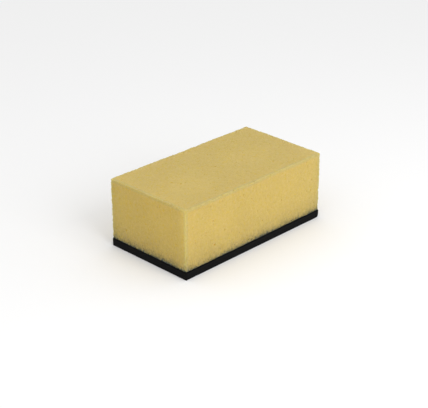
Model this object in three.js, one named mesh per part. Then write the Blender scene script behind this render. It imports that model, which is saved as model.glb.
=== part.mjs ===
// Hand-held grout float: a block of soft open-cell foam is the grip, and the flat rubber sole bonded
// under it pushes grout into the joints between tiles.
//
// Millimetres. The origin is the centre of the sole's working face. +X runs along the length,
// +Y across the width, and +Z up from the working face towards the hand.

import * as THREE from "three";

// Driving dimensions. The layers are all cut to one size.
const LENGTH = 150;
const WIDTH = 80;
const SOLE_THICKNESS = 6;
const ADHESIVE_THICKNESS = 1;
const FOAM_THICKNESS = 49;

// Rounding. The sheet is cut to size with a knife, which leaves every edge almost sharp, except the
// working edge at the +X end, which is rounded off.
const RUBBER_CORNER_RADIUS = 0.5;
const WORKING_EDGE_RADIUS = 0.4;
const ROUNDED_END_RADIUS = 2.5;
const FOAM_CORNER_RADIUS = 0.6;
const FOAM_EDGE_RADIUS = 0.5;
const SQUARE_EDGE = 0;

// Facets along a quarter circle.
const CORNER_FACETS = 6;
const EDGE_FACETS = 5;

const RIGHT_ANGLE = Math.PI / 2;

// The outline of a rectangle with round corners, anticlockwise, whose sides are at those X and Y.
function roundedRectangle({ xMin, xMax, yMin, yMax }, radius) {
  const outline = [];
  for (let corner = 0; corner < 4; corner += 1) {
    const start = corner * RIGHT_ANGLE;
    const diagonal = start + RIGHT_ANGLE / 2;
    const centreX = Math.cos(diagonal) > 0 ? xMax - radius : xMin + radius;
    const centreY = Math.sin(diagonal) > 0 ? yMax - radius : yMin + radius;
    for (let facet = 0; facet <= CORNER_FACETS; facet += 1) {
      const angle = start + (facet / CORNER_FACETS) * RIGHT_ANGLE;
      outline.push(
        new THREE.Vector2(centreX + radius * Math.cos(angle), centreY + radius * Math.sin(angle)),
      );
    }
  }
  return outline;
}

// The heights at which an edge of that radius is faceted, measured from the flat face it rounds.
function edgeHeights(radius) {
  if (radius === SQUARE_EDGE) return [0];
  const heights = [];
  for (let facet = 0; facet <= EDGE_FACETS; facet += 1) {
    heights.push(radius * (1 - Math.cos((facet / EDGE_FACETS) * RIGHT_ANGLE)));
  }
  return heights;
}

// How far a wall with a rounded edge stands back at that height from the flat face.
function edgeInset(height, radius) {
  if (height >= radius) return 0;
  return radius - Math.sqrt(radius ** 2 - (radius - height) ** 2);
}

// The two triangles of each side wall facet between one ring of points and the next.
function wallTriangles(ringCount, ringSize) {
  const triangles = [];
  for (let ring = 0; ring < ringCount - 1; ring += 1) {
    for (let side = 0; side < ringSize; side += 1) {
      const lower = ring * ringSize + side;
      const lowerNext = ring * ringSize + ((side + 1) % ringSize);
      const upper = lower + ringSize;
      const upperNext = lowerNext + ringSize;
      triangles.push(lower, lowerNext, upperNext, lower, upperNext, upper);
    }
  }
  return triangles;
}

// A closed slab of the float's length and width, its lower face at z = 0. The corner radius is in
// plan. The others round the edges of the lower and upper faces, and endEdgeRadius is the lower
// face's at the +X end.
function slabGeometry({ thickness, cornerRadius, lowerEdgeRadius, endEdgeRadius, upperEdgeRadius }) {
  const lowerHeights = [...edgeHeights(lowerEdgeRadius), ...edgeHeights(endEdgeRadius)];
  const upperHeights = edgeHeights(upperEdgeRadius).map((height) => thickness - height);
  const heights = [...new Set([...lowerHeights, ...upperHeights])].sort((a, b) => a - b);

  const positions = [];
  for (const z of heights) {
    const upperInset = edgeInset(thickness - z, upperEdgeRadius);
    const inset = edgeInset(z, lowerEdgeRadius) + upperInset;
    const endInset = edgeInset(z, endEdgeRadius) + upperInset;
    const sides = {
      xMin: -LENGTH / 2 + inset,
      xMax: LENGTH / 2 - endInset,
      yMin: -WIDTH / 2 + inset,
      yMax: WIDTH / 2 - inset,
    };
    const ring = roundedRectangle(sides, cornerRadius - inset);
    for (const point of ring) positions.push(point.x, point.y, z);
  }

  const sides = { xMin: -LENGTH / 2, xMax: LENGTH / 2, yMin: -WIDTH / 2, yMax: WIDTH / 2 };
  const outline = roundedRectangle(sides, cornerRadius);
  const triangles = wallTriangles(heights.length, outline.length);
  const topRing = (heights.length - 1) * outline.length;
  for (const [a, b, c] of THREE.ShapeUtils.triangulateShape(outline, [])) {
    triangles.push(a, c, b);
    triangles.push(topRing + a, topRing + b, topRing + c);
  }

  const geometry = new THREE.BufferGeometry();
  geometry.setAttribute("position", new THREE.Float32BufferAttribute(positions, 3));
  geometry.setIndex(triangles);
  return geometry;
}

// One layer of the float, flat-shaded, with its lower face at the height bottom.
function layer(name, bottom, slab, look) {
  const geometry = slabGeometry(slab).toNonIndexed();
  geometry.computeVertexNormals();
  const mesh = new THREE.Mesh(geometry, new THREE.MeshStandardMaterial(look));
  mesh.name = name;
  mesh.position.z = bottom;
  return mesh;
}

// The working plate: a dense, black, matt rubber sheet.
function rubberSole() {
  const slab = {
    thickness: SOLE_THICKNESS,
    cornerRadius: RUBBER_CORNER_RADIUS,
    lowerEdgeRadius: WORKING_EDGE_RADIUS,
    endEdgeRadius: ROUNDED_END_RADIUS,
    upperEdgeRadius: SQUARE_EDGE,
  };
  return layer("rubber_sole", 0, slab, { color: 0x17191a, roughness: 0.8, metalness: 0 });
}

// The black contact adhesive between the rubber and the foam, soaked into the foam's lowest cells.
function adhesiveLayer() {
  const slab = {
    thickness: ADHESIVE_THICKNESS,
    cornerRadius: RUBBER_CORNER_RADIUS,
    lowerEdgeRadius: SQUARE_EDGE,
    endEdgeRadius: SQUARE_EDGE,
    upperEdgeRadius: SQUARE_EDGE,
  };
  const look = { color: 0x141414, roughness: 0.6, metalness: 0 };
  return layer("adhesive_layer", SOLE_THICKNESS, slab, look);
}

// The grip: pale-yellow open-cell polyurethane foam.
function foamBlock() {
  const slab = {
    thickness: FOAM_THICKNESS,
    cornerRadius: FOAM_CORNER_RADIUS,
    lowerEdgeRadius: SQUARE_EDGE,
    endEdgeRadius: SQUARE_EDGE,
    upperEdgeRadius: FOAM_EDGE_RADIUS,
  };
  const look = { color: 0xd7b970, roughness: 0.95, metalness: 0 };
  return layer("foam_block", SOLE_THICKNESS + ADHESIVE_THICKNESS, slab, look);
}

const groutFloat = new THREE.Group();
groutFloat.add(rubberSole(), adhesiveLayer(), foamBlock());

export default groutFloat;
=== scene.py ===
"""Looks of a hand-held grout float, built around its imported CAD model.

A block of pale-yellow open-cell foam, the grip, is bonded by black contact adhesive to a flat black
rubber sole. All sizes are in metres, in the CAD model's own frame: the origin is the centre of the
sole's working face, +X runs along the length, +Y across the width and +Z up.
"""

import math

import bpy
import numpy as np
from mathutils import Matrix, Vector, noise


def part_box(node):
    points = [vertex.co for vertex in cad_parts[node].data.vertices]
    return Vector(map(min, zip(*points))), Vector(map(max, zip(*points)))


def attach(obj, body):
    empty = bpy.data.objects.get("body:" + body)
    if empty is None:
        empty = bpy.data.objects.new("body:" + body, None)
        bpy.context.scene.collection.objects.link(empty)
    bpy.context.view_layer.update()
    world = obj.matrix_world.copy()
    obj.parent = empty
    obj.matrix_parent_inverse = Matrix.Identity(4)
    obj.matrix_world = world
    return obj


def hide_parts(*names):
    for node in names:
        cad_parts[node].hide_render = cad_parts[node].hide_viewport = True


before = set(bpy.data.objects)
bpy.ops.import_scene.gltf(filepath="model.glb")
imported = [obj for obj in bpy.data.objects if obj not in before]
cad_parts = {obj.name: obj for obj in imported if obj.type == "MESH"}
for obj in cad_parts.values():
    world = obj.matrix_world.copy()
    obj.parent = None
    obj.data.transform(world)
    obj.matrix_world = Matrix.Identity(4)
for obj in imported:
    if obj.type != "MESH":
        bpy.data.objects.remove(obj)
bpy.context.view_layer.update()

MM = 0.001

# Seeds of the waves, of the foam's cells and of the seam's nibs.
WAVE_SEED = 20
FOAM_SEED = 20
SEAM_SEED = 21

# Foam: the grid that its surface is made on, and how many triangles the finished block may have.
FOAM_GRID = 0.38 * MM
FOAM_TRIANGLES = 190_000
FOAM_EDGE_RADIUS = 0.7 * MM
FOAM_OVERSIZE = 0.28 * MM  # so that the cut face lies on the CAD face on average, cells included
FOAM_SINK = 0.8 * MM  # how far the foam's underside sits in the adhesive

# Cleaning up the carved foam. In grid steps: the margin of air round the block, how far out the air
# is surely open, how far solid and air are followed from there, and how far from the surface a point
# is put that is emptied, filled, or filled at a contact.
GRID_MARGIN = 4
OPEN_AIR = 2
SEARCH_STEPS = 30
JUST_PAST = 0.1
CONTACT_FILLING = 0.05
CONTACT_PASSES = 8
SOLID_DEPTH = 2.5 * MM  # deeper than any cell reaches

# Gap between the block's faces where they are laid out for baking, and the scale of the hidden one.
LAYOUT_GAP = 1.5 * MM
HIDDEN_FACE_SHARE = 0.1

# Cut cells, by family: smallest and largest radius, and how many there are in a square metre.
CELL_FAMILIES = (
    (0.40 * MM, 0.55 * MM, 0.070e6),
    (0.55 * MM, 0.80 * MM, 0.010e6),
    (0.80 * MM, 1.10 * MM, 0.0012e6),
)
CELL_SINK = (-0.7, -0.05)  # depth of a cell's centre under the cut face, in radii
CELL_SQUEEZE = (0.8, 1.25)  # how far a cell is out of round, in each direction

# Torn cells along the edges: smallest and largest radius, and how many there are in a metre.
TORN_RADII = (0.5 * MM, 1.3 * MM)
TORN_DENSITY = 300
TORN_OUTSIDE = (0.2, 0.8)  # how far a torn cell's centre lies outside the edge, in radii

# The knife's wander and the give of the foam under it: size of the waves and how far they move it,
# all over and, rougher, where the foam frayed along the edges.
CUT_WAVES = ((22 * MM, 0.22 * MM), (3.0 * MM, 0.12 * MM), (1.3 * MM, 0.06 * MM))
FRAY_WAVES = ((3.2 * MM, 0.26 * MM), (1.1 * MM, 0.36 * MM))
FRAY_REACH = 1.2 * MM

# How far the foam's corners lie from a true block, because it was cut by hand: (x, y, z) for the
# corner on each side of the middle in X, Y and Z.
FOAM_CORNER_ERRORS = {
    (-1, 1, 1): (-0.2 * MM, 0.2 * MM, 0.0),
    (1, 1, 1): (0.0, 0.0, 0.85 * MM),
    (1, -1, 1): (-0.3 * MM, 0.3 * MM, 0.0),
}

# Adhesive seam: how far it stands proud of the foam, how far it lies below its nominal top, and how
# far it wavers and climbs.
SEAM_PROUD = 0.06 * MM
SEAM_DROP = 0.25 * MM
SEAM_SPACING = 0.35 * MM
SEAM_WAVES = ((6 * MM, 0.10 * MM), (1.1 * MM, 0.16 * MM))
SEAM_NIBS = 34
NIB_HEIGHT = (0.4 * MM, 1.3 * MM)
NIB_WIDTH = (0.25 * MM, 0.55 * MM)

# The seam's section: how far its underside stands back, how far below its nominal top it is at full
# width, and how far in from the outline its lip ends and its flat upper face begins.
SEAM_FOOT_INSET = 0.3 * MM
SEAM_SHOULDER_DROP = 0.7 * MM
SEAM_LIP_INSET = 0.4 * MM
SEAM_FLAT_INSET = 1.2 * MM

# Rubber sole: how far it stands out past the softer foam, spacing of its side wall's points, radius
# of its cut edges, and the waver of the cut.
SOLE_OUTSET = 0.55 * MM
SOLE_SPACING = 0.7 * MM
SOLE_CORNER_RADIUS = 0.5 * MM
SOLE_EDGE_RADIUS = 0.35 * MM
ROUNDED_END_RADIUS = 2.6 * MM  # of the working edge at the +X end
SOLE_LEVELS = 14
SOLE_WAVES = ((9 * MM, 0.07 * MM), (1.5 * MM, 0.02 * MM))
FEWEST_CORNER_STEPS = 4  # of any sheet's round corner

# The camera: where it looks from, and how far its line of sight passes beside and above the origin.
# Azimuth 0 is on the -Y side and -90 degrees on the -X side, for the light too.
CAMERA_AZIMUTH = math.radians(-45.87)
CAMERA_ELEVATION = math.radians(25.208)
CAMERA_ROLL = math.radians(0.22)
CAMERA_DISTANCE = 890.5 * MM
CAMERA_ASIDE = -3.372 * MM
CAMERA_ABOVE = 21.075 * MM
CAMERA_LENS = 94.13
CAMERA_SENSOR = 36.0
CAMERA_FARTHEST = 100.0

# The studio: a bright surround, one soft square light nearly in front of the long side, and the floor.
WHITE = (1.0, 1.0, 1.0)
SURROUND_STRENGTH = 0.85
KEY_AZIMUTH = math.radians(-8)
KEY_ELEVATION = math.radians(34)
KEY_DISTANCE = 0.80
KEY_SIZE = 0.5
KEY_POWER = 2.3
FLOOR_REACH = 8.0

# Colours, as linear red, green and blue.
FOAM_COLOUR = (0.553, 0.405, 0.110)
# Rubber dust and painted shade towards the black sole, in the next colour.
DUST_AND_SHADE_COLOUR = (0.055, 0.075, 0.052)
SPECK_COLOUR = (0.010, 0.010, 0.010)
RUBBER_COLOUR = (0.0030, 0.0032, 0.0034)
ADHESIVE_COLOUR = (0.0032, 0.0031, 0.0030)
FLOOR_COLOUR = (0.985, 0.985, 0.985)

# Tints that the foam's colour is multiplied by: all over; in its cells, with painted shade in the
# hollows of the fine cells, painted light on their walls and painted light in the carved cells; at
# its ends, painted shade; and along its edges, painted light and painted shade.
MOTTLE_TINTS = ((0.975, 0.965, 0.93), (1.02, 1.025, 1.05))
HUE_SPREAD = (0.03, 0.03, 0.56)
CELL_PAINTED_SHADE_AND_LIGHT_TINTS = ((0.93, 0.90, 0.76), (1.06, 1.07, 1.18))
SPOT_TINT = (1.02, 0.97, 0.60)
DEEP_CELL_AND_PAINTED_LIGHT_TINT = (1.20, 1.08, 0.78)
PAINTED_END_SHADE_TINT = (1.005, 0.985, 0.88)
STRIP_PAINTED_LIGHT_TINT = (0.87, 0.948, 1.20)
RIDGE_PAINTED_SHADE_TINT = (0.91, 0.92, 0.95)
PAINTED_EDGE_LIGHT_TINT = (1.24, 1.31, 1.36)
PAINTED_EDGE_SHADE_TINT = (0.86, 0.92, 1.0)

# Sizes of the foam's patterns.
BROAD_SIZE = 45 * MM
PATCH_SIZE = 14 * MM
MOTTLE_SIZE = 2.4 * MM
SPOT_SIZE = 2.0 * MM
HUE_SIZE = 1.7 * MM
STRIP_WAVER_SIZE = 1.5 * MM
STREAK_SIZE = 1.2 * MM
GRAIN_SIZE = 0.8 * MM
FINE_CELL_SIZE = 0.62 * MM
FUZZ_SIZE = 0.25 * MM

# The painted light along the edges, a paler and greyer strip: how far it wavers, and where it begins
# and has ended fading. These are in millimetres, as the foam's attributes are.
STRIP_WAVER = 1.2
STRIP_FADE = (1.8, 3.8)

# How far the painted light and painted shade tints reach, down to 1/e, from the edge that they begin
# at.
PAINTED_EDGE_LIGHT_REACH = 3.2 * MM
PAINTED_END_SHADE_REACH = 9 * MM
PAINTED_SIDE_SHADE_REACH = 5 * MM

# Rubber dust, with painted shade in its film, and specks: how far up they reach, down to 1/e, and
# how much there is at the adhesive.
THICK_DUST_REACH = 1.9 * MM
THICK_DUST_SHARE = 0.42
THIN_DUST_AND_SHADE_REACH = 9 * MM
THIN_DUST_AND_SHADE_SHARE = 0.30
SPECK_REACH = 4.5 * MM
SPECK_CROWDING = 0.17
END_DUST_AND_SHADE = 1.22  # how much heavier the dust and painted shade lie on the ends

# How squarely a surface faces along an axis where it begins to count and where it counts in full: as
# part of a face, as the flat of a face, and as turned that way at all.
ON_FACE = (0.6, 0.9)
ON_FLAT = (0.8, 0.98)
TURNED_TO = (0.2, 0.45)

# Sizes of the rubber's and the adhesive's patterns.
RUBBER_GRAIN_SIZE = 0.35 * MM
RUBBER_SCORE_SIZE = 0.5 * MM
ADHESIVE_LUMP_SIZE = 0.9 * MM

# Places of the colour sockets in Blender's Mix node, whose names aren't unique.
MIX_A, MIX_B, MIX_RESULT = 6, 7, 2


# ---------------------------------------------------------------- nodes


class Shader:
    """A material's nodes, made one after another. Methods that make nodes return the last one's
    socket."""

    def __init__(self, name):
        self.material = bpy.data.materials.new(name)
        self.material.use_nodes = True
        self.tree = self.material.node_tree
        self.surface = self.tree.nodes["Principled BSDF"]
        self.position = self.tree.nodes.new("ShaderNodeTexCoord").outputs["Object"]

    def put(self, socket, value):
        """Links value to socket if it is a socket itself, and otherwise sets socket to it."""
        if isinstance(value, bpy.types.NodeSocket):
            self.tree.links.new(value, socket)
        elif socket.type == "RGBA":
            socket.default_value = (*value, 1.0)
        else:
            socket.default_value = value

    def surface_set(self, **values):
        """Sets the surface's inputs, with underscores for the spaces in their names."""
        for name, value in values.items():
            self.put(self.surface.inputs[name.replace("_", " ")], value)

    def math(self, operation, *values):
        node = self.tree.nodes.new("ShaderNodeMath")
        node.operation = operation
        for socket, value in zip(node.inputs, values):
            self.put(socket, value)
        return node.outputs[0]

    def product(self, result, *factors):
        """Result, multiplied by all the factors."""
        for factor in factors:
            result = self.math("MULTIPLY", result, factor)
        return result

    def span(self, value, low, high, to_low=0.0, to_high=1.0):
        """Value's place between low and high, eased, as a number between to_low and to_high."""
        node = self.tree.nodes.new("ShaderNodeMapRange")
        node.interpolation_type = "SMOOTHSTEP"
        for name, number in (
            ("Value", value),
            ("From Min", low),
            ("From Max", high),
            ("To Min", to_low),
            ("To Max", to_high),
        ):
            self.put(node.inputs[name], number)
        return node.outputs["Result"]

    def fading(self, distance, length):
        """1 at no distance, falling to 1/e at that length."""
        return self.math("EXPONENT", self.math("DIVIDE", distance, -length))

    def mix(self, factor, colour_a, colour_b, blend="MIX"):
        node = self.tree.nodes.new("ShaderNodeMix")
        node.data_type = "RGBA"
        node.blend_type = blend
        self.put(node.inputs["Factor"], factor)
        self.put(node.inputs[MIX_A], colour_a)
        self.put(node.inputs[MIX_B], colour_b)
        return node.outputs[MIX_RESULT]

    def tinted(self, colour, tint, factor=1.0):
        """The colour, multiplied by the tint as far as factor says."""
        return self.mix(factor, colour, tint, "MULTIPLY")

    def hue_wander(self, size, spread):
        """A tint near white whose red, green and blue each wander by themselves, by spread in all."""
        node = self.tree.nodes.new("ShaderNodeVectorMath")
        node.operation = "MULTIPLY_ADD"
        self.put(node.inputs[0], self.noise(size, detail=1, output="Color"))
        node.inputs[1].default_value = spread
        node.inputs[2].default_value = [1 - s / 2 for s in spread]
        return node.outputs[0]

    def noise(self, size, detail=2.0, roughness=0.5, stretch=(1, 1, 1), output="Fac"):
        """Noise from 0 to 1 whose features are about size across. The output "Color" is three
        separate noises."""
        node = self.tree.nodes.new("ShaderNodeTexNoise")
        self.put(node.inputs["Vector"], self.stretched(stretch))
        self.put(node.inputs["Scale"], 1 / size)
        self.put(node.inputs["Detail"], detail)
        self.put(node.inputs["Roughness"], roughness)
        return node.outputs[output]

    def cells(self, size, feature="F1"):
        """Distance from the middle of cells about size across, or from their walls if feature is
        "DISTANCE_TO_EDGE", in cell sizes."""
        node = self.tree.nodes.new("ShaderNodeTexVoronoi")
        node.feature = feature
        self.put(node.inputs["Vector"], self.position)
        self.put(node.inputs["Scale"], 1 / size)
        return node.outputs["Distance"]

    def stretched(self, stretch):
        """The position, scaled so that patterns come out that much longer along each axis."""
        if tuple(stretch) == (1, 1, 1):
            return self.position
        node = self.tree.nodes.new("ShaderNodeMapping")
        self.put(node.inputs["Vector"], self.position)
        node.inputs["Scale"].default_value = [1 / s for s in stretch]
        return node.outputs["Vector"]

    def attribute(self, name):
        node = self.tree.nodes.new("ShaderNodeAttribute")
        node.attribute_name = name
        return node.outputs["Fac"]

    def component(self, vector, axis):
        node = self.tree.nodes.new("ShaderNodeSeparateXYZ")
        self.put(node.inputs[0], vector)
        return node.outputs[axis]

    def above(self, axis, level):
        """How far the place lies above that level along the axis, "X", "Y" or "Z"."""
        return self.math("SUBTRACT", self.component(self.position, axis), level)

    def below(self, axis, level):
        return self.math("SUBTRACT", level, self.component(self.position, axis))

    def facing(self, axis, span):
        """1 where the surface faces squarely along that axis, either way, and 0 where it doesn't."""
        normal = self.tree.nodes.new("ShaderNodeTexCoord").outputs["Normal"]
        squareness = self.math("ABSOLUTE", self.component(normal, axis))
        return self.span(squareness, *span)

    def bump(self, height, depth, normal=None):
        """Relief that deep where height is 1, on top of the relief in normal if there is one."""
        node = self.tree.nodes.new("ShaderNodeBump")
        self.put(node.inputs["Height"], height)
        self.put(node.inputs["Distance"], depth)
        self.put(node.inputs["Strength"], 1.0)
        if normal is not None:
            self.put(node.inputs["Normal"], normal)
        return node.outputs["Normal"]


# ---------------------------------------------------------------- foam surface


def rounded_block_distance(x, y, z, half, radius):
    """Signed distance from a block of that half size, centred on the origin, with round edges."""
    outside = [np.abs(c) - (h - radius) for c, h in zip((x, y, z), half)]
    beyond = np.sqrt(sum(np.maximum(o, 0) ** 2 for o in outside))
    within = np.minimum(np.maximum(np.maximum(outside[0], outside[1]), outside[2]), 0)
    return beyond + within - radius


def cut_cells(rng, half):
    """Centres and radii of the cells that the knife opened, all over the block's faces."""
    centres, radii = [], []
    for axis in range(3):
        across = [a for a in range(3) if a != axis]
        area = 4 * half[across[0]] * half[across[1]]
        for side in (-1, 1):
            for smallest, largest, density in CELL_FAMILIES:
                count = int(area * density)
                radius = rng.uniform(smallest, largest, count)
                centre = np.empty((count, 3))
                for a in across:
                    centre[:, a] = rng.uniform(-half[a], half[a], count)
                sink = rng.uniform(*CELL_SINK, count) * radius
                centre[:, axis] = side * (half[axis] - sink)
                centres.append(centre)
                radii.append(radius)
    return np.concatenate(centres), np.concatenate(radii)


def torn_cells(rng, half):
    """Centres and radii of the cells that tore open along the block's upright and upper edges."""
    edges = [(2, (x, y, 0)) for x in (-1, 1) for y in (-1, 1)]
    edges += [(0, (0, y, 1)) for y in (-1, 1)] + [(1, (x, 0, 1)) for x in (-1, 1)]
    centres, radii = [], []
    for along, side in edges:
        count = int(2 * half[along] * TORN_DENSITY)
        radius = rng.uniform(*TORN_RADII, count)
        outside = rng.uniform(*TORN_OUTSIDE, count) * radius / math.sqrt(2)
        centre = np.array(side) * (half + outside[:, None])
        centre[:, along] = rng.uniform(-half[along], half[along], count)
        centres.append(centre)
        radii.append(radius)
    return np.concatenate(centres), np.concatenate(radii)


def carve(distance, start, centres, radii, squeeze):
    """Takes ellipsoids out of the solid that the distance grid describes. Squeeze is how much each
    one is narrowed along each axis."""
    reach = np.ceil(radii[:, None] / squeeze / FOAM_GRID).astype(int) + 1
    nearest = np.rint((centres - start) / FOAM_GRID).astype(int)
    lows = np.maximum(nearest - reach, 0)
    highs = np.minimum(nearest + reach + 1, distance.shape)
    for centre, radius, narrow, low, high in zip(centres, radii, squeeze, lows, highs):
        window = tuple(slice(a, b) for a, b in zip(low, high))
        x, y, z = (
            ((np.arange(a, b) * FOAM_GRID + s - c) * n) ** 2
            for a, b, s, c, n in zip(low, high, start, centre, narrow)
        )
        gap = np.sqrt(x[:, None, None] + y[None, :, None] + z)
        distance[window] = np.maximum(distance[window], radius - gap)


def spread(seed, allowed, steps):
    """The allowed grid points that are reached from seed in that many steps."""
    reached = seed & allowed
    for _ in range(steps):
        grown = reached.copy()
        for axis in range(3):
            ahead = [slice(None)] * 3
            behind = [slice(None)] * 3
            ahead[axis] = slice(1, None)
            behind[axis] = slice(None, -1)
            grown[tuple(ahead)] |= reached[tuple(behind)]
            grown[tuple(behind)] |= reached[tuple(ahead)]
        grown &= allowed
        if np.array_equal(grown, reached):
            break
        reached = grown
    return reached


def fill_diagonal_contacts(distance):
    """Fills the grid squares whose solid corners touch only across a diagonal, where the surface would
    meet itself along an edge."""
    filling = -CONTACT_FILLING * FOAM_GRID
    for _ in range(CONTACT_PASSES):
        changed = False
        for first, second in ((0, 1), (1, 2), (0, 2)):
            corners = []
            for i in (0, 1):
                for j in (0, 1):
                    window = [slice(None)] * 3
                    window[first] = slice(i, -1 if i == 0 else None)
                    window[second] = slice(j, -1 if j == 0 else None)
                    corners.append(distance[tuple(window)])
            c00, c01, c10, c11 = (c < 0 for c in corners)
            touching = (c00 == c11) & (c01 == c10) & (c00 != c01)
            if touching.any():
                changed = True
                for corner in corners:
                    corner[touching] = np.minimum(corner[touching], filling)
        if not changed:
            break


def surface_net(distance, start):
    """Vertices and quads of the surface where distance is 0, with one vertex in each grid cell that
    the surface passes through."""
    inside = distance < 0
    corner_offsets = np.array([(i, j, k) for i in (0, 1) for j in (0, 1) for k in (0, 1)])
    cells_x, cells_y, cells_z = np.array(inside.shape) - 1
    solid_corners = sum(
        inside[i : i + cells_x, j : j + cells_y, k : k + cells_z].astype(np.int8)
        for i, j, k in corner_offsets
    )
    crossed = (solid_corners > 0) & (solid_corners < len(corner_offsets))
    cells = np.argwhere(crossed)
    index = np.full(crossed.shape, -1, np.int64)
    index[crossed] = np.arange(len(cells))

    total = np.zeros((len(cells), 3))
    count = np.zeros(len(cells))
    for a, low in enumerate(corner_offsets):
        for high in corner_offsets[a + 1 :]:
            if np.abs(high - low).sum() != 1:
                continue
            from_value = distance[tuple((cells + low).T)]
            to_value = distance[tuple((cells + high).T)]
            cut = (from_value < 0) != (to_value < 0)
            share = from_value[cut] / (from_value[cut] - to_value[cut])
            total[cut] += low + share[:, None] * (high - low)
            count[cut] += 1
    vertices = start + (cells + total / count[:, None]) * FOAM_GRID

    quads = []
    for axis in range(3):
        step_a = np.eye(3, dtype=int)[(axis + 1) % 3]
        step_b = np.eye(3, dtype=int)[(axis + 2) % 3]
        here = [slice(1, -1)] * 3
        there = [slice(1, -1)] * 3
        here[axis] = slice(0, -1)
        there[axis] = slice(1, None)
        leaving = inside[tuple(here)] & ~inside[tuple(there)]
        entering = ~inside[tuple(here)] & inside[tuple(there)]
        first_edge = np.ones(3, int)
        first_edge[axis] = 0
        for edges, order in ((leaving, (0, 1, 2, 3)), (entering, (3, 2, 1, 0))):
            edge = np.argwhere(edges) + first_edge
            around = (edge - step_a - step_b, edge - step_b, edge, edge - step_a)
            quads.append(np.stack([index[tuple(around[n].T)] for n in order], axis=1))
    return vertices, np.concatenate(quads)


def mesh_from_arrays(name, vertices, quads):
    mesh = bpy.data.meshes.new(name)
    mesh.vertices.add(len(vertices))
    mesh.vertices.foreach_set("co", vertices.astype(np.float32).ravel())
    mesh.loops.add(quads.size)
    mesh.loops.foreach_set("vertex_index", quads.astype(np.int32).ravel())
    mesh.polygons.add(len(quads))
    mesh.polygons.foreach_set("loop_start", np.arange(0, quads.size, 4, dtype=np.int32))
    mesh.update(calc_edges=True)
    mesh.validate()
    return mesh


def keep_points(mesh, points):
    """Notes a point for each vertex, which stays with the mesh while it is thinned."""
    attribute = mesh.attributes.new("kept_point", "FLOAT_VECTOR", "POINT")
    attribute.data.foreach_set("vector", points.astype(np.float32).ravel())


def take_points(mesh):
    """The kept points of the vertices that are left."""
    attribute = mesh.attributes["kept_point"]
    points = np.empty(len(mesh.vertices) * 3, np.float32)
    attribute.data.foreach_get("vector", points)
    mesh.attributes.remove(attribute)
    return points.reshape(-1, 3).astype(float)


def thinned(mesh, triangles):
    """The mesh with its flattest parts simplified until that many triangles are left."""
    piece = bpy.data.objects.new("foam_draft", mesh)
    bpy.context.scene.collection.objects.link(piece)
    decimate = piece.modifiers.new("thin", "DECIMATE")
    decimate.ratio = triangles / (2 * len(mesh.polygons))
    decimate.use_collapse_triangulate = True
    depsgraph = bpy.context.evaluated_depsgraph_get()
    result = bpy.data.meshes.new_from_object(piece.evaluated_get(depsgraph))
    bpy.data.objects.remove(piece)
    bpy.data.meshes.remove(mesh)
    return result


def wavered(points, waves):
    """The points, each moved by smooth noise. Waves holds pairs of wave size and movement."""
    moved = points.copy()
    for size, amount in waves:
        shifts = [noise.noise_vector(Vector(p) / size) for p in points]
        moved += amount * np.array(shifts)
    return moved


def edge_distance(points, half):
    """How far each point near the block's skin is from the nearest upright or upper edge."""
    to_sides = np.abs(half - np.abs(points))
    to_top = np.abs(half[2] - points[:, 2])
    return np.sort(np.stack([to_sides[:, 0], to_sides[:, 1], to_top]), axis=0)[1]


def hand_cut(points, centre, half):
    """Points of a true block, moved to where the hand-cut block has them."""
    share = np.clip((points - centre) / (2 * half) + 0.5, 0, 1)
    fray = np.exp(-edge_distance(points - centre, half) / FRAY_REACH)
    moved = wavered(points, CUT_WAVES) + fray[:, None] * (wavered(points, FRAY_WAVES) - points)
    for signs, error in FOAM_CORNER_ERRORS.items():
        weight = np.ones(len(points))
        for axis, sign in enumerate(signs):
            weight *= share[:, axis] if sign > 0 else 1 - share[:, axis]
        moved += weight[:, None] * np.array(error)
    return moved


def add_attribute(mesh, name, values):
    """Gives the mesh a number for each vertex, for its material."""
    attribute = mesh.attributes.new(name, "FLOAT", "POINT")
    attribute.data.foreach_set("value", values.astype(np.float32))


def lay_out(mesh, points, half):
    """Texture coordinates for baking, with the block's six faces laid out side by side. Each triangle
    goes with the face that it lies nearest to. The hidden underside is laid out small."""
    corners = np.empty(len(mesh.loops), np.int32)
    mesh.loops.foreach_get("vertex_index", corners)
    middles = points[corners].reshape(-1, 3, 3).mean(axis=1)
    face_axis = np.argmin(half - np.abs(middles), axis=1)
    face_side = np.sign(middles[np.arange(len(middles)), face_axis])

    length, width, height = 2 * half
    gap = LAYOUT_GAP
    second_row, third_row = width + gap, width + height + 2 * gap
    second_column = length + gap
    # For each face: its axis and side, the axis and direction that run across and up the page, the
    # place of its lower left corner there, and its scale.
    faces = (
        (2, 1, (0, 1), (1, 1), 0, 0, 1),
        (1, -1, (0, 1), (2, 1), 0, second_row, 1),
        (1, 1, (0, -1), (2, 1), 0, third_row, 1),
        (0, -1, (2, 1), (1, 1), second_column, 0, 1),
        (0, 1, (2, 1), (1, -1), second_column, second_row, 1),
        (2, -1, (0, 1), (1, -1), second_column, 2 * second_row, HIDDEN_FACE_SHARE),
    )
    page = max(second_column + height, third_row + height) + gap
    places = np.zeros((len(corners), 2))
    for axis, side, across, up, left, bottom, share in faces:
        chosen = np.repeat((face_axis == axis) & (face_side == side), 3)
        for column, (along, sign), start in ((0, across, left), (1, up, bottom)):
            run = half[along] + sign * points[corners[chosen], along]
            places[chosen, column] = (gap / 2 + start + share * run) / page
    layer = mesh.uv_layers.new(name="OFBake")
    layer.uv.foreach_set("vector", places.astype(np.float32).ravel())


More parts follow.
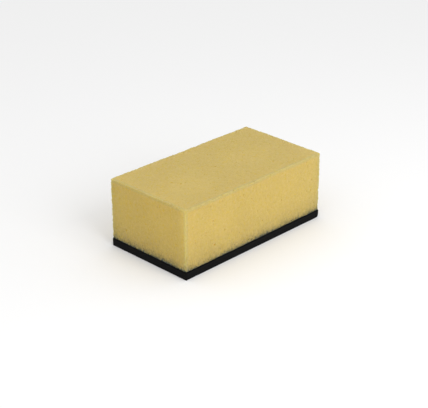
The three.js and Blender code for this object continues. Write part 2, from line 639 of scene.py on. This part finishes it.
def foam_mesh():
    """The foam block's skin: a cut face full of opened cells, closed and in one piece."""
    low, high = (np.array(corner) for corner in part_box("foam_block"))
    low[2] -= FOAM_SINK
    centre = (low + high) / 2
    half = (high - low) / 2 + FOAM_OVERSIZE
    margin = GRID_MARGIN * FOAM_GRID
    start = -half - margin
    counts = np.ceil(2 * (half + margin) / FOAM_GRID).astype(int) + 1
    axes = [s + FOAM_GRID * np.arange(n) for s, n in zip(start, counts)]
    x, y, z = axes[0][:, None, None], axes[1][None, :, None], axes[2][None, None, :]
    distance = rounded_block_distance(x, y, z, half, FOAM_EDGE_RADIUS).astype(np.float32)

    solid = distance < -SOLID_DEPTH
    open_air = distance > OPEN_AIR * FOAM_GRID
    rng = np.random.default_rng(FOAM_SEED)
    for centres, radii in (cut_cells(rng, half), torn_cells(rng, half)):
        carve(distance, start, centres, radii, rng.uniform(*CELL_SQUEEZE, centres.shape))
    crumbs = (distance < 0) & ~spread(solid, distance < 0, SEARCH_STEPS)
    distance[crumbs] = JUST_PAST * FOAM_GRID
    bubbles = (distance >= 0) & ~spread(open_air, distance >= 0, SEARCH_STEPS)
    distance[bubbles] = -JUST_PAST * FOAM_GRID
    fill_diagonal_contacts(distance)

    points, quads = surface_net(distance, start)
    mesh = mesh_from_arrays("foam_grip", hand_cut(points + centre, centre, half), quads)
    keep_points(mesh, points)
    mesh = thinned(mesh, FOAM_TRIANGLES)
    points = take_points(mesh)
    depth = -rounded_block_distance(*points.T, half, FOAM_EDGE_RADIUS)
    add_attribute(mesh, "cell_depth", np.maximum(depth, 0) / MM)
    add_attribute(mesh, "edge_distance", edge_distance(points, half) / MM)
    lay_out(mesh, points, half)
    mesh.shade_smooth()
    return mesh


# ---------------------------------------------------------------- lofted sheets


def rounded_outline(half_x, half_y, radius, spacing):
    """Points round a rectangle with round corners, about evenly spaced, and the outward direction at
    each."""
    points, outward = [], []
    for corner in range(4):
        turn = corner * math.pi / 2
        diagonal = turn + math.pi / 4
        centre = np.array(
            [
                math.copysign(half_x - radius, math.cos(diagonal)),
                math.copysign(half_y - radius, math.sin(diagonal)),
            ]
        )
        arc_steps = max(FEWEST_CORNER_STEPS, round(radius * math.pi / 2 / spacing))
        for angle in np.linspace(turn, turn + math.pi / 2, arc_steps + 1):
            direction = np.array([math.cos(angle), math.sin(angle)])
            points.append(centre + radius * direction)
            outward.append(direction)
        run = 2 * (half_y - radius) if corner % 2 else 2 * (half_x - radius)
        arc_end, facing = points[-1], outward[-1]
        along = np.array([-facing[1], facing[0]])
        run_steps = round(run / spacing)
        for step in range(1, run_steps):
            points.append(arc_end + along * run * step / run_steps)
            outward.append(facing)
    return np.array(points), np.array(outward)


def loft(name, rings):
    """A closed mesh through rings of points, lowest first, each ring anticlockwise from above."""
    count = len(rings[0])
    faces = [tuple(reversed(range(count)))]
    for ring in range(len(rings) - 1):
        for i in range(count):
            j = (i + 1) % count
            a, b = ring * count + i, ring * count + j
            faces.append((a, b, b + count, a + count))
    top = (len(rings) - 1) * count
    faces.append(tuple(range(top, top + count)))
    mesh = bpy.data.meshes.new(name)
    mesh.from_pydata(np.concatenate(rings).tolist(), [], faces)
    mesh.shade_smooth()
    for cap in (mesh.polygons[0], mesh.polygons[-1]):
        cap.use_smooth = False
    return mesh


def ring_at(points, outward, inset, heights):
    """The outline drawn in by inset, at one height or at a height for each point."""
    flat = points - outward * inset
    return np.column_stack([flat, np.broadcast_to(heights, len(flat))])


def edge_inset(height, radius):
    """How far a wall with a rounded lower edge stands back at that height above the lower face."""
    short = max(radius - height, 0)
    return radius - math.sqrt(radius**2 - short**2)


def sole_mesh():
    """The rubber sole: a knife-cut sheet whose wall wavers slightly and whose working edge is a little
    dulled, and rounded off at the +X end."""
    low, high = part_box("rubber_sole")
    points, outward = rounded_outline(
        high.x + SOLE_OUTSET, high.y + SOLE_OUTSET, SOLE_CORNER_RADIUS, SOLE_SPACING
    )
    at_end = np.clip(1 - (high.x + SOLE_OUTSET - points[:, 0]) / ROUNDED_END_RADIUS, 0, 1)
    rings = []
    for level in np.linspace(0, 1, SOLE_LEVELS):
        height = (high.z - low.z) * level**2  # closest together at the lower, rounded edge
        inset = edge_inset(height, SOLE_EDGE_RADIUS)
        end_inset = edge_inset(height, ROUNDED_END_RADIUS) - inset
        ring = ring_at(points, outward, inset, low.z + height)
        ring[:, 0] -= end_inset * at_end
        ring[:, :2] = wavered(ring, SOLE_WAVES)[:, :2]
        rings.append(ring)
    return loft("sole_sheet", rings)


def seam_climb(rng, points):
    """How far the adhesive has climbed into the foam at each point of the outline."""
    climb = np.zeros(len(points))
    for size, amount in SEAM_WAVES:
        climb += [amount * noise.noise(Vector((x, y, 0)) / size) for x, y in points]
    for _ in range(SEAM_NIBS):
        middle = points[rng.integers(len(points))]
        height = rng.uniform(*NIB_HEIGHT)
        width = rng.uniform(*NIB_WIDTH)
        away = np.linalg.norm(points - middle, axis=1) / width
        climb = np.maximum(climb, height * np.exp(-(away**2)))
    return climb


def seam_mesh():
    """The adhesive between foam and rubber: a film whose upper edge has crept up into the cells."""
    low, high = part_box("adhesive_layer")
    points, outward = rounded_outline(high.x, high.y, SOLE_CORNER_RADIUS, SEAM_SPACING)
    climb = seam_climb(np.random.default_rng(SEAM_SEED), points)
    proud = FOAM_OVERSIZE + SEAM_PROUD
    sole_side = [ring_at(points, outward, inset, low.z) for inset in (SEAM_FOOT_INSET, 0.0)]
    # Each ring's inset, its share of the climb, and how far below the nominal top it lies.
    upper_section = (
        (-proud, 0.0, SEAM_SHOULDER_DROP),
        (-proud, 0.5, SEAM_DROP),
        (-0.5 * proud, 1.0, SEAM_DROP),
        (SEAM_LIP_INSET, 0.6, SEAM_DROP),
        (SEAM_FLAT_INSET, 0.0, SEAM_DROP),
    )
    foam_side = [
        ring_at(points, outward, inset, high.z + share * climb - drop)
        for inset, share, drop in upper_section
    ]
    for ring in foam_side:
        ring[:, :2] = wavered(ring, CUT_WAVES)[:, :2]
    return loft("adhesive_seam", sole_side + foam_side)


# ---------------------------------------------------------------- materials


def foam_tone_with_painted_cell_light(shader):
    """The foam's colour: its own, mottled at every size and deeper in spots; painted shade in the
    hollows of its finest cells and painted light on their walls; and in the open cells a deeper colour
    brightened by painted light."""
    broad = shader.noise(BROAD_SIZE, detail=1)
    brightness = shader.span(broad, 0.35, 0.65, to_low=0.975, to_high=1.025)
    tone = shader.tinted(FOAM_COLOUR, brightness)
    mottle = shader.span(shader.noise(MOTTLE_SIZE, detail=2, roughness=0.6), 0.32, 0.68)
    tone = shader.tinted(tone, shader.mix(mottle, *MOTTLE_TINTS))
    tone = shader.tinted(tone, shader.hue_wander(HUE_SIZE, HUE_SPREAD))

    # Painted shade in the hollows of the fine cells, painted light on their walls.
    to_wall = shader.cells(FINE_CELL_SIZE, feature="DISTANCE_TO_EDGE")
    wall = shader.span(to_wall, 0.02, 0.24, to_low=1.0, to_high=0.0)
    tone = shader.tinted(tone, shader.mix(wall, *CELL_PAINTED_SHADE_AND_LIGHT_TINTS))
    spots = shader.span(shader.noise(SPOT_SIZE, detail=1, stretch=(1, 1, 1.1)), 0.61, 0.70)
    tone = shader.tinted(tone, SPOT_TINT, spots)
    # The carved cells' deeper colour, brightened by painted light against the shade in them.
    depth = shader.span(shader.attribute("cell_depth"), 0.15, 0.9)
    return shader.tinted(tone, DEEP_CELL_AND_PAINTED_LIGHT_TINT, depth)


def edges_with_painted_light_and_shade(shader, tone):
    """The tone with painted light along the upright and upper edges, a narrow, paler and greyer strip,
    and painted shade on the rounding between the top and the long sides."""
    waver = shader.product(shader.noise(STRIP_WAVER_SIZE), STRIP_WAVER)
    from_edge = shader.math("ADD", shader.attribute("edge_distance"), waver)
    strip = shader.span(from_edge, *STRIP_FADE, to_low=1.0, to_high=0.0)
    # Painted light along the edges.
    tone = shader.tinted(tone, STRIP_PAINTED_LIGHT_TINT, strip)
    # Painted shade on the rounding between the top and the long sides.
    ridge = shader.product(strip, shader.facing("Z", TURNED_TO), shader.facing("Y", TURNED_TO))
    return shader.tinted(tone, RIDGE_PAINTED_SHADE_TINT, ridge)


def painted_face_light_and_shade(shader, tone, low, high):
    """The tone with painted light and shade: deeper on the ends, painted shade; paler on them towards
    -Y, painted light coming round the upright edge through the foam; and duller on them towards +Y and
    on the long sides towards +X, painted shade. It follows the photograph."""
    # Painted shade on the ends, then painted light and painted shade near the edges.
    tone = shader.tinted(tone, PAINTED_END_SHADE_TINT, shader.facing("X", ON_FACE))
    for from_edge, reach, tint, face in (
        (shader.above("Y", low.y), PAINTED_EDGE_LIGHT_REACH, PAINTED_EDGE_LIGHT_TINT, shader.facing("X", ON_FLAT)),
        (shader.below("Y", high.y), PAINTED_END_SHADE_REACH, PAINTED_EDGE_SHADE_TINT, shader.facing("X", ON_FACE)),
        (shader.below("X", high.x), PAINTED_SIDE_SHADE_REACH, PAINTED_EDGE_SHADE_TINT, shader.facing("Y", ON_FACE)),
    ):
        tone = shader.tinted(tone, tint, shader.product(shader.fading(from_edge, reach), face))
    return tone


def dusted_and_shaded(shader, tone, above_glue, patches):
    """The tone under a grey film in upright streaks, thick just above the adhesive and thin higher up,
    and heavier on the ends: rubber dust, and painted shade towards the black sole."""
    thick = shader.product(shader.fading(above_glue, THICK_DUST_REACH), THICK_DUST_SHARE)
    thin = shader.product(shader.fading(above_glue, THIN_DUST_AND_SHADE_REACH), THIN_DUST_AND_SHADE_SHARE)
    streaks = shader.noise(STREAK_SIZE, detail=3, roughness=0.65, stretch=(1, 1, 2.5))
    streaks = shader.span(streaks, 0.32, 0.68, to_low=0.5, to_high=1.5)
    on_ends = shader.span(shader.facing("X", ON_FACE), 0.0, 1.0, to_low=1.0, to_high=END_DUST_AND_SHADE)
    # The film is rubber dust and painted shade.
    film = shader.product(shader.math("ADD", thick, thin), patches, streaks, on_ends)
    return shader.mix(film, tone, DUST_AND_SHADE_COLOUR)


def specked(shader, tone, above_glue, patches):
    """The tone with black specks of rubber, densest just above the adhesive."""
    grains = shader.noise(GRAIN_SIZE, detail=2, roughness=0.6, stretch=(1, 1, 1.4))
    crowding = shader.product(shader.fading(above_glue, SPECK_REACH), SPECK_CROWDING, patches)
    specks = shader.span(shader.math("ADD", grains, crowding), 0.71, 0.77, to_low=0.0, to_high=0.9)
    return shader.mix(specks, tone, SPECK_COLOUR)


def foam_material(low, high):
    """Pale-yellow foam that light travels in. Low and high are its lowest and highest corners."""
    shader = Shader("foam")
    tone = foam_tone_with_painted_cell_light(shader)
    tone = edges_with_painted_light_and_shade(shader, tone)
    tone = painted_face_light_and_shade(shader, tone, low, high)
    above_glue = shader.above("Z", low.z)
    patches = shader.noise(PATCH_SIZE, detail=2)
    patches = shader.span(patches, 0.3, 0.7, to_low=0.82, to_high=1.18)
    tone = dusted_and_shaded(shader, tone, above_glue, patches)
    tone = specked(shader, tone, above_glue, patches)

    bump = shader.bump(shader.cells(FINE_CELL_SIZE), depth=0.22 * MM)
    bump = shader.bump(shader.noise(FUZZ_SIZE, detail=2), depth=0.07 * MM, normal=bump)
    shader.surface_set(
        Base_Color=tone,
        Roughness=0.95,
        Specular_IOR_Level=0.2,
        Subsurface_Weight=1.0,
        Subsurface_Radius=(1.0, 0.9, 0.7),
        Subsurface_Scale=6.5 * MM,
        Sheen_Weight=0.1,
        Sheen_Roughness=0.6,
        Normal=bump,
    )
    return shader.material


def rubber_material():
    """Dense black rubber with a fine grain, scored by the knife along the cut."""
    shader = Shader("black_rubber")
    grain = shader.noise(RUBBER_GRAIN_SIZE, detail=3, roughness=0.65)
    scores = shader.noise(RUBBER_SCORE_SIZE, detail=2, stretch=(14, 14, 1))
    shade = shader.product(
        shader.span(grain, 0.3, 0.7, to_low=0.85, to_high=1.2),
        shader.span(scores, 0.3, 0.7, to_low=0.85, to_high=1.2),
    )
    bump = shader.bump(grain, depth=0.05 * MM)
    bump = shader.bump(scores, depth=0.06 * MM, normal=bump)
    shader.surface_set(
        Base_Color=shader.tinted(RUBBER_COLOUR, shade),
        Roughness=0.8,
        Specular_IOR_Level=0.1,
        Normal=bump,
    )
    return shader.material


def adhesive_material():
    """Dried black contact adhesive, lumpy and a little less dull than the rubber."""
    shader = Shader("black_adhesive")
    lumps = shader.noise(ADHESIVE_LUMP_SIZE, detail=3, roughness=0.6)
    shade = shader.span(lumps, 0.3, 0.7, to_low=0.8, to_high=1.4)
    shader.surface_set(
        Base_Color=shader.tinted(ADHESIVE_COLOUR, shade),
        Roughness=0.65,
        Specular_IOR_Level=0.15,
        Normal=shader.bump(lumps, depth=0.15 * MM),
    )
    return shader.material


def floor_material():
    shader = Shader("pale_floor")
    shader.surface_set(Base_Color=FLOOR_COLOUR, Roughness=1.0, Specular_IOR_Level=0.0)
    return shader.material


# ---------------------------------------------------------------- pieces


def new_piece(name, mesh, material):
    piece = bpy.data.objects.new(name, mesh)
    bpy.context.scene.collection.objects.link(piece)
    mesh.materials.clear()
    mesh.materials.append(material)
    return piece


def stand_in_for(node, name, mesh, material):
    """A piece that is seen in place of that CAD node."""
    piece = new_piece(name, mesh, material)
    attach(piece, "root")
    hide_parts(node)
    return piece


def make_float():
    """The three layers, from the grip down."""
    foam_look = foam_material(*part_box("foam_block"))
    foam = stand_in_for("foam_block", "foam_grip", foam_mesh(), foam_look)
    stand_in_for("adhesive_layer", "adhesive_seam", seam_mesh(), adhesive_material())
    stand_in_for("rubber_sole", "sole_sheet", sole_mesh(), rubber_material())


# ---------------------------------------------------------------- studio


def make_floor():
    reach = FLOOR_REACH
    mesh = bpy.data.meshes.new("floor")
    corners = [(-reach, -reach, 0), (reach, -reach, 0), (reach, reach, 0), (-reach, reach, 0)]
    mesh.from_pydata(corners, [], [(0, 1, 2, 3)])
    floor = new_piece("floor", mesh, floor_material())


def direction(azimuth, elevation):
    """The way from the origin to something at that azimuth and elevation."""
    across = math.cos(elevation)
    return Vector((math.sin(azimuth) * across, -math.cos(azimuth) * across, math.sin(elevation)))


def make_key_light():
    """A soft light that faces the object and that the camera doesn't see."""
    data = bpy.data.lights.new("key", "AREA")
    data.shape = "SQUARE"
    data.size = KEY_SIZE
    data.energy = KEY_POWER
    data.color = WHITE
    light = bpy.data.objects.new("key", data)
    bpy.context.scene.collection.objects.link(light)
    light.visible_camera = False
    away = direction(KEY_AZIMUTH, KEY_ELEVATION)
    light.location = away * KEY_DISTANCE
    light.rotation_euler = away.to_track_quat("Z", "Y").to_euler()


def make_surround():
    world = bpy.data.worlds.new("studio")
    world.use_nodes = True
    background = world.node_tree.nodes["Background"]
    background.inputs["Color"].default_value = (*WHITE, 1)
    background.inputs["Strength"].default_value = SURROUND_STRENGTH
    bpy.context.scene.world = world


def make_camera():
    back = direction(CAMERA_AZIMUTH, CAMERA_ELEVATION)
    right = Vector((math.cos(CAMERA_AZIMUTH), math.sin(CAMERA_AZIMUTH), 0))
    up = back.cross(right)
    right, up = (
        right * math.cos(CAMERA_ROLL) + up * math.sin(CAMERA_ROLL),
        up * math.cos(CAMERA_ROLL) - right * math.sin(CAMERA_ROLL),
    )
    data = bpy.data.cameras.new("camera")
    data.lens = CAMERA_LENS
    data.sensor_width = CAMERA_SENSOR
    data.clip_end = CAMERA_FARTHEST
    camera = bpy.data.objects.new("camera", data)
    bpy.context.scene.collection.objects.link(camera)
    camera.matrix_world = Matrix.Translation(
        back * CAMERA_DISTANCE + right * CAMERA_ASIDE + up * CAMERA_ABOVE
    ) @ Matrix((right, up, back)).transposed().to_4x4()
    bpy.context.scene.camera = camera


noise.seed_set(WAVE_SEED)  # otherwise Blender seeds its noise vectors with the time
make_camera()
make_float()
make_floor()
make_surround()
make_key_light()
bpy.context.scene.view_settings.view_transform = "Standard"
